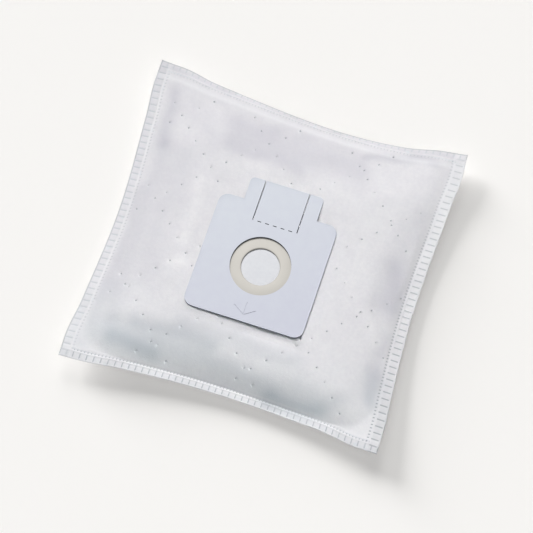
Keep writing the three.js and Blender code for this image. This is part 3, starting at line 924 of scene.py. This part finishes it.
def spunbond_fleece(name, dense, thin, shade_colour, low_shade_colour, double, film, through):
    """Colours of thick and thin web, of the painted shade laid over it and of that painted shade near the bottom
    seam, of two sheets lying together, and of melted film.
    through is the share of light that goes through the web and not back."""
    material, tree, output = new_material(name)
    place = add_node(tree, "ShaderNodeUVMap", uv_map="cut_sheet")
    flat = add_node(tree, "ShaderNodeMapping", {"Vector": place.outputs["UV"],
                                                "Scale": (SHEET_SIZE[0], SHEET_SIZE[1], 1)})
    where = flat.outputs["Vector"]
    cloud = add_node(tree, "ShaderNodeTexNoise", {"Vector": where, "Scale": per_metre(CLOUD_MM),
                                                  "Detail": 3.0, "Roughness": 0.55}, noise_dimensions="2D")
    clump = add_node(tree, "ShaderNodeTexNoise", {"Vector": where, "Scale": per_metre(CLUMP_MM),
                                                  "Detail": 2.0, "Roughness": 0.6}, noise_dimensions="2D")
    fibre = add_node(tree, "ShaderNodeTexNoise", {"Vector": where, "Scale": per_metre(FIBRE_MM),
                                                  "Detail": 4.0, "Roughness": 0.7}, noise_dimensions="2D")
    web = add_node(tree, "ShaderNodeMath", {0: cloud.outputs["Fac"], 1: clump.outputs["Fac"]}, operation="ADD")
    density = add_node(tree, "ShaderNodeMapRange", {"Value": web.outputs[0], "From Min": 0.7, "From Max": 1.3})
    web_colour = add_node(tree, "ShaderNodeMix", {0: density.outputs["Result"], 6: linear(thin), 7: linear(dense)},
                          data_type="RGBA")
    # painted shade: the colour laid over the web turns bluer and darker towards the bottom seam, where the slope is
    # in shade
    along = add_node(tree, "ShaderNodeSeparateXYZ", {0: place.outputs["UV"]})
    low = add_node(tree, "ShaderNodeMapRange", {"Value": along.outputs["Y"], "From Min": 0.3, "From Max": 0.12})
    painted_shade_tint = add_node(tree, "ShaderNodeMix", {0: low.outputs["Result"], 6: linear(shade_colour), 7: linear(low_shade_colour)},
                      data_type="RGBA")
    # painted shade, laid on where the attribute marks it
    hollow_painted_shade = add_node(tree, "ShaderNodeAttribute", attribute_name="hollow_painted_shade")
    with_painted_shade = add_node(tree, "ShaderNodeMix", {0: hollow_painted_shade.outputs["Fac"], 6: web_colour.outputs[2],
                                              7: painted_shade_tint.outputs[2]}, data_type="RGBA")
    fused_and_painted_light = add_node(tree, "ShaderNodeAttribute", attribute_name="fused_and_painted_light")
    colour = add_node(tree, "ShaderNodeMix", {0: fused_and_painted_light.outputs["Fac"], 6: with_painted_shade.outputs[2], 7: linear(double)},
                      data_type="RGBA")
    film_and_painted_shade = add_node(tree, "ShaderNodeAttribute", attribute_name="film_and_painted_shade")
    melted = add_node(tree, "ShaderNodeMix", {0: film_and_painted_shade.outputs["Fac"], 6: colour.outputs[2], 7: linear(film)},
                      data_type="RGBA")
    rough = add_node(tree, "ShaderNodeMapRange", {"Value": film_and_painted_shade.outputs["Fac"], "To Min": 0.82, "To Max": 0.45})
    relief = add_node(tree, "ShaderNodeMath", {0: clump.outputs["Fac"], 1: fibre.outputs["Fac"]}, operation="ADD")
    bump = add_node(tree, "ShaderNodeBump", {"Height": relief.outputs[0], "Strength": 0.35, "Distance": 0.00025})
    surface = add_node(tree, "ShaderNodeBsdfPrincipled", {
        "Base Color": melted.outputs[2], "Roughness": rough.outputs["Result"], "Normal": bump.outputs["Normal"],
        "IOR": 1.49, "Specular IOR Level": 0.25, "Sheen Weight": 0.1, "Sheen Roughness": 0.5})
    shine_through = add_node(tree, "ShaderNodeBsdfTranslucent", {"Color": melted.outputs[2],
                                                                 "Normal": bump.outputs["Normal"]})
    cloth = add_node(tree, "ShaderNodeMixShader", {0: through, 1: surface.outputs["BSDF"],
                                                   2: shine_through.outputs["BSDF"]})
    tree.links.new(cloth.outputs["Shader"], output.inputs["Surface"])
    return material


# the fourth and fifth colours are painted shade
FRONT_FLEECE = spunbond_fleece("white_spunbond_fleece", "#F6F4F5", "#F0EEF0", "#C7C5CE", "#C8CDD2", "#F9F8FA", "#A9ACB2", 0.1)
BACK_FLEECE = spunbond_fleece("white_spunbond_fleece_back", "#EFF0F3", "#EAEBEF", "#D5D7DC", "#D3D6DA", "#F5F4F6", "#B2B4B9", 0.1)
front_sheet.data.materials.append(FRONT_FLEECE)
back_sheet.data.materials.append(BACK_FLEECE)
inner_ply.data.materials.append(BACK_FLEECE)

# %% [markdown]
# ## Board of the collar
# White-lined board with a pale blue-grey face. Paper fibre gives it a fine tooth and a faint
# mottle a few millimetres across. Its cut edge shows the darker grey core. Its face is painted lighter
# towards the tab and the upper left, as painted light.

# %% Board
def lined_board():
    material, tree, output = new_material("blue_grey_lined_board")
    place = add_node(tree, "ShaderNodeTexCoord")
    where = place.outputs["Object"]
    mottle = add_node(tree, "ShaderNodeTexNoise", {"Vector": where, "Scale": per_metre(7.0), "Detail": 3.0})
    tooth = add_node(tree, "ShaderNodeTexNoise", {"Vector": where, "Scale": per_metre(0.7), "Detail": 3.0})
    # painted light: the face is coloured lighter towards the tab and the upper left, where the softbox stands
    painted_light_direction = add_node(tree, "ShaderNodeVectorMath", {0: where, 1: (-0.5, 0.87, 0)}, operation="DOT_PRODUCT")
    fade = add_node(tree, "ShaderNodeMapRange", {"Value": painted_light_direction.outputs["Value"],
                                                 "From Min": -0.075, "From Max": 0.055})
    uneven = add_node(tree, "ShaderNodeMath", {0: mottle.outputs["Fac"], 1: 0.8, 2: -0.4}, operation="MULTIPLY_ADD")
    tone = add_node(tree, "ShaderNodeMath", {0: fade.outputs["Result"], 1: uneven.outputs[0]}, operation="ADD",
                    use_clamp=True)
    face = add_node(tree, "ShaderNodeMix", {0: tone.outputs[0], 6: linear("#CDCFDB"), 7: linear("#D5D9E1")},
                    data_type="RGBA")
    geometry = add_node(tree, "ShaderNodeNewGeometry")
    up = add_node(tree, "ShaderNodeSeparateXYZ", {0: geometry.outputs["Normal"]})
    steep = add_node(tree, "ShaderNodeMath", {0: up.outputs["Z"]}, operation="ABSOLUTE")
    cut = add_node(tree, "ShaderNodeMapRange", {"Value": steep.outputs[0], "From Min": 0.5, "From Max": 0.2})
    colour = add_node(tree, "ShaderNodeMix", {0: cut.outputs["Result"], 6: face.outputs[2], 7: linear("#6A6F7A")},
                      data_type="RGBA")
    bump = add_node(tree, "ShaderNodeBump", {"Height": tooth.outputs["Fac"], "Strength": 0.2, "Distance": 0.0001})
    surface = add_node(tree, "ShaderNodeBsdfPrincipled", {
        "Base Color": colour.outputs[2], "Roughness": 0.62, "Normal": bump.outputs["Normal"],
        "IOR": 1.5, "Specular IOR Level": 0.3})
    tree.links.new(surface.outputs["BSDF"], output.inputs["Surface"])
    return material


card.data.materials.clear()
card.data.materials.append(lined_board())

# %% [markdown]
# ## Rubber of the seal
# Beige rubber sheet, calendered between rollers, so it is even and matte with a very fine grain.

# %% Rubber
def calendered_rubber():
    material, tree, output = new_material("beige_calendered_rubber")
    place = add_node(tree, "ShaderNodeTexCoord")
    where = place.outputs["Object"]
    shade = add_node(tree, "ShaderNodeTexNoise", {"Vector": where, "Scale": per_metre(9.0), "Detail": 2.0})
    grain = add_node(tree, "ShaderNodeTexNoise", {"Vector": where, "Scale": per_metre(0.6), "Detail": 3.0})
    colour = add_node(tree, "ShaderNodeMix", {0: shade.outputs["Fac"], 6: linear("#CAC6BE"), 7: linear("#D2CEC6")},
                      data_type="RGBA")
    bump = add_node(tree, "ShaderNodeBump", {"Height": grain.outputs["Fac"], "Strength": 0.25, "Distance": 0.0001})
    surface = add_node(tree, "ShaderNodeBsdfPrincipled", {
        "Base Color": colour.outputs[2], "Roughness": 0.55, "Normal": bump.outputs["Normal"],
        "IOR": 1.52, "Specular IOR Level": 0.35})
    tree.links.new(surface.outputs["BSDF"], output.inputs["Surface"])
    return material


seal.data.materials.append(calendered_rubber())

# %% [markdown]
# ## Floor and light
# The bag is lit by one large soft light high up behind it, so that the slopes towards the camera
# are the darker ones, and by a weak bluish fill from all round. The floor has two lamps of its own:
# one lights it evenly, and one from the upper left leaves the soft shadow at the lower right.

# %% Floor
FLOOR_HALF = 6.0
floor_bm = bmesh.new()
bmesh.ops.create_grid(floor_bm, x_segments=1, y_segments=1, size=FLOOR_HALF)
floor_mesh = bpy.data.meshes.new("floor")
floor_bm.to_mesh(floor_mesh)
floor_bm.free()
floor = bpy.data.objects.new("floor", floor_mesh)
bpy.context.scene.collection.objects.link(floor)

floor_material, floor_tree, floor_output = new_material("painted_floor")
paint = add_node(floor_tree, "ShaderNodeBsdfDiffuse", {"Color": linear("#FAF8F5")})
floor_tree.links.new(paint.outputs["BSDF"], floor_output.inputs["Surface"])
floor_mesh.materials.append(floor_material)

# %% Lamps and world
KEY_SHARE = 0.826
FILL_SHARE = 0.2
FLOOR_EVEN_SHARE = 0.26
FLOOR_SOFT_SHARE = 0.08
FLOOR_CONTACT_SHARE = 0.14
FLOOR_SHADOW_SHARE = 0.32
GLOW_SHARE = 0.008


def add_sun(name, azimuth, elevation, share, spread):
    """A lamp far away. share is how much of a full white it gives a level surface."""
    data = bpy.data.lights.new(name, "SUN")
    data.energy = share * math.pi / math.sin(math.radians(elevation))
    data.angle = math.radians(spread)
    lamp = bpy.data.objects.new(name, data)
    a, e = math.radians(azimuth), math.radians(elevation)
    towards = Vector((math.cos(a) * math.cos(e), math.sin(a) * math.cos(e), math.sin(e)))
    lamp.rotation_mode = "QUATERNION"
    lamp.rotation_quaternion = towards.to_track_quat("Z", "Y")
    bpy.context.scene.collection.objects.link(lamp)
    return lamp


def lights_only(lamp, name, objects):
    """Makes the lamp light these objects and nothing else."""
    group = bpy.data.collections.new(name)
    for each in objects:
        group.objects.link(each)
    lamp.light_linking.receiver_collection = group


key = add_sun("softbox", azimuth=120, elevation=66, share=KEY_SHARE, spread=26)
glow = add_sun("front_glow", azimuth=285, elevation=25, share=GLOW_SHARE, spread=60)
glow.data.color = linear("#80FFFF")[:3]
floor_even = add_sun("floor_even", azimuth=150, elevation=84, share=FLOOR_EVEN_SHARE, spread=12)
floor_soft = add_sun("floor_soft", azimuth=330, elevation=70, share=FLOOR_SOFT_SHARE, spread=60)
floor_contact = add_sun("floor_contact", azimuth=110, elevation=30, share=FLOOR_CONTACT_SHARE, spread=30)
floor_shadow = add_sun("floor_shadow", azimuth=150, elevation=16, share=FLOOR_SHADOW_SHARE, spread=24)
lights_only(key, "lit by the softbox", [front_sheet, back_sheet, inner_ply, card, seal])
lights_only(glow, "lit by the front glow", [front_sheet, back_sheet])
for lamp in (floor_even, floor_soft, floor_contact, floor_shadow):
    lights_only(lamp, "lit by " + lamp.name, [floor])
shade = bpy.data.collections.new("shades the floor from above")
shade.objects.link(inner_ply)
floor_even.light_linking.blocker_collection = shade

world = bpy.data.worlds.new("studio")
world.use_nodes = True
world.node_tree.nodes.clear()
sky = world.node_tree
light_path = add_node(sky, "ShaderNodeLightPath")
fill = add_node(sky, "ShaderNodeBackground", {"Color": linear("#EFF1F4"), "Strength": FILL_SHARE})
backdrop = add_node(sky, "ShaderNodeBackground", {"Color": linear("#F6F5F3"), "Strength": 1.0})
seen = add_node(sky, "ShaderNodeMixShader", {0: light_path.outputs["Is Camera Ray"], 1: fill.outputs["Background"],
                                             2: backdrop.outputs["Background"]})
world_output = add_node(sky, "ShaderNodeOutputWorld", {"Surface": seen.outputs["Shader"]})
bpy.context.scene.world = world
bpy.context.scene.view_settings.view_transform = "Standard"

# %% Finish
bpy.context.view_layer.update()
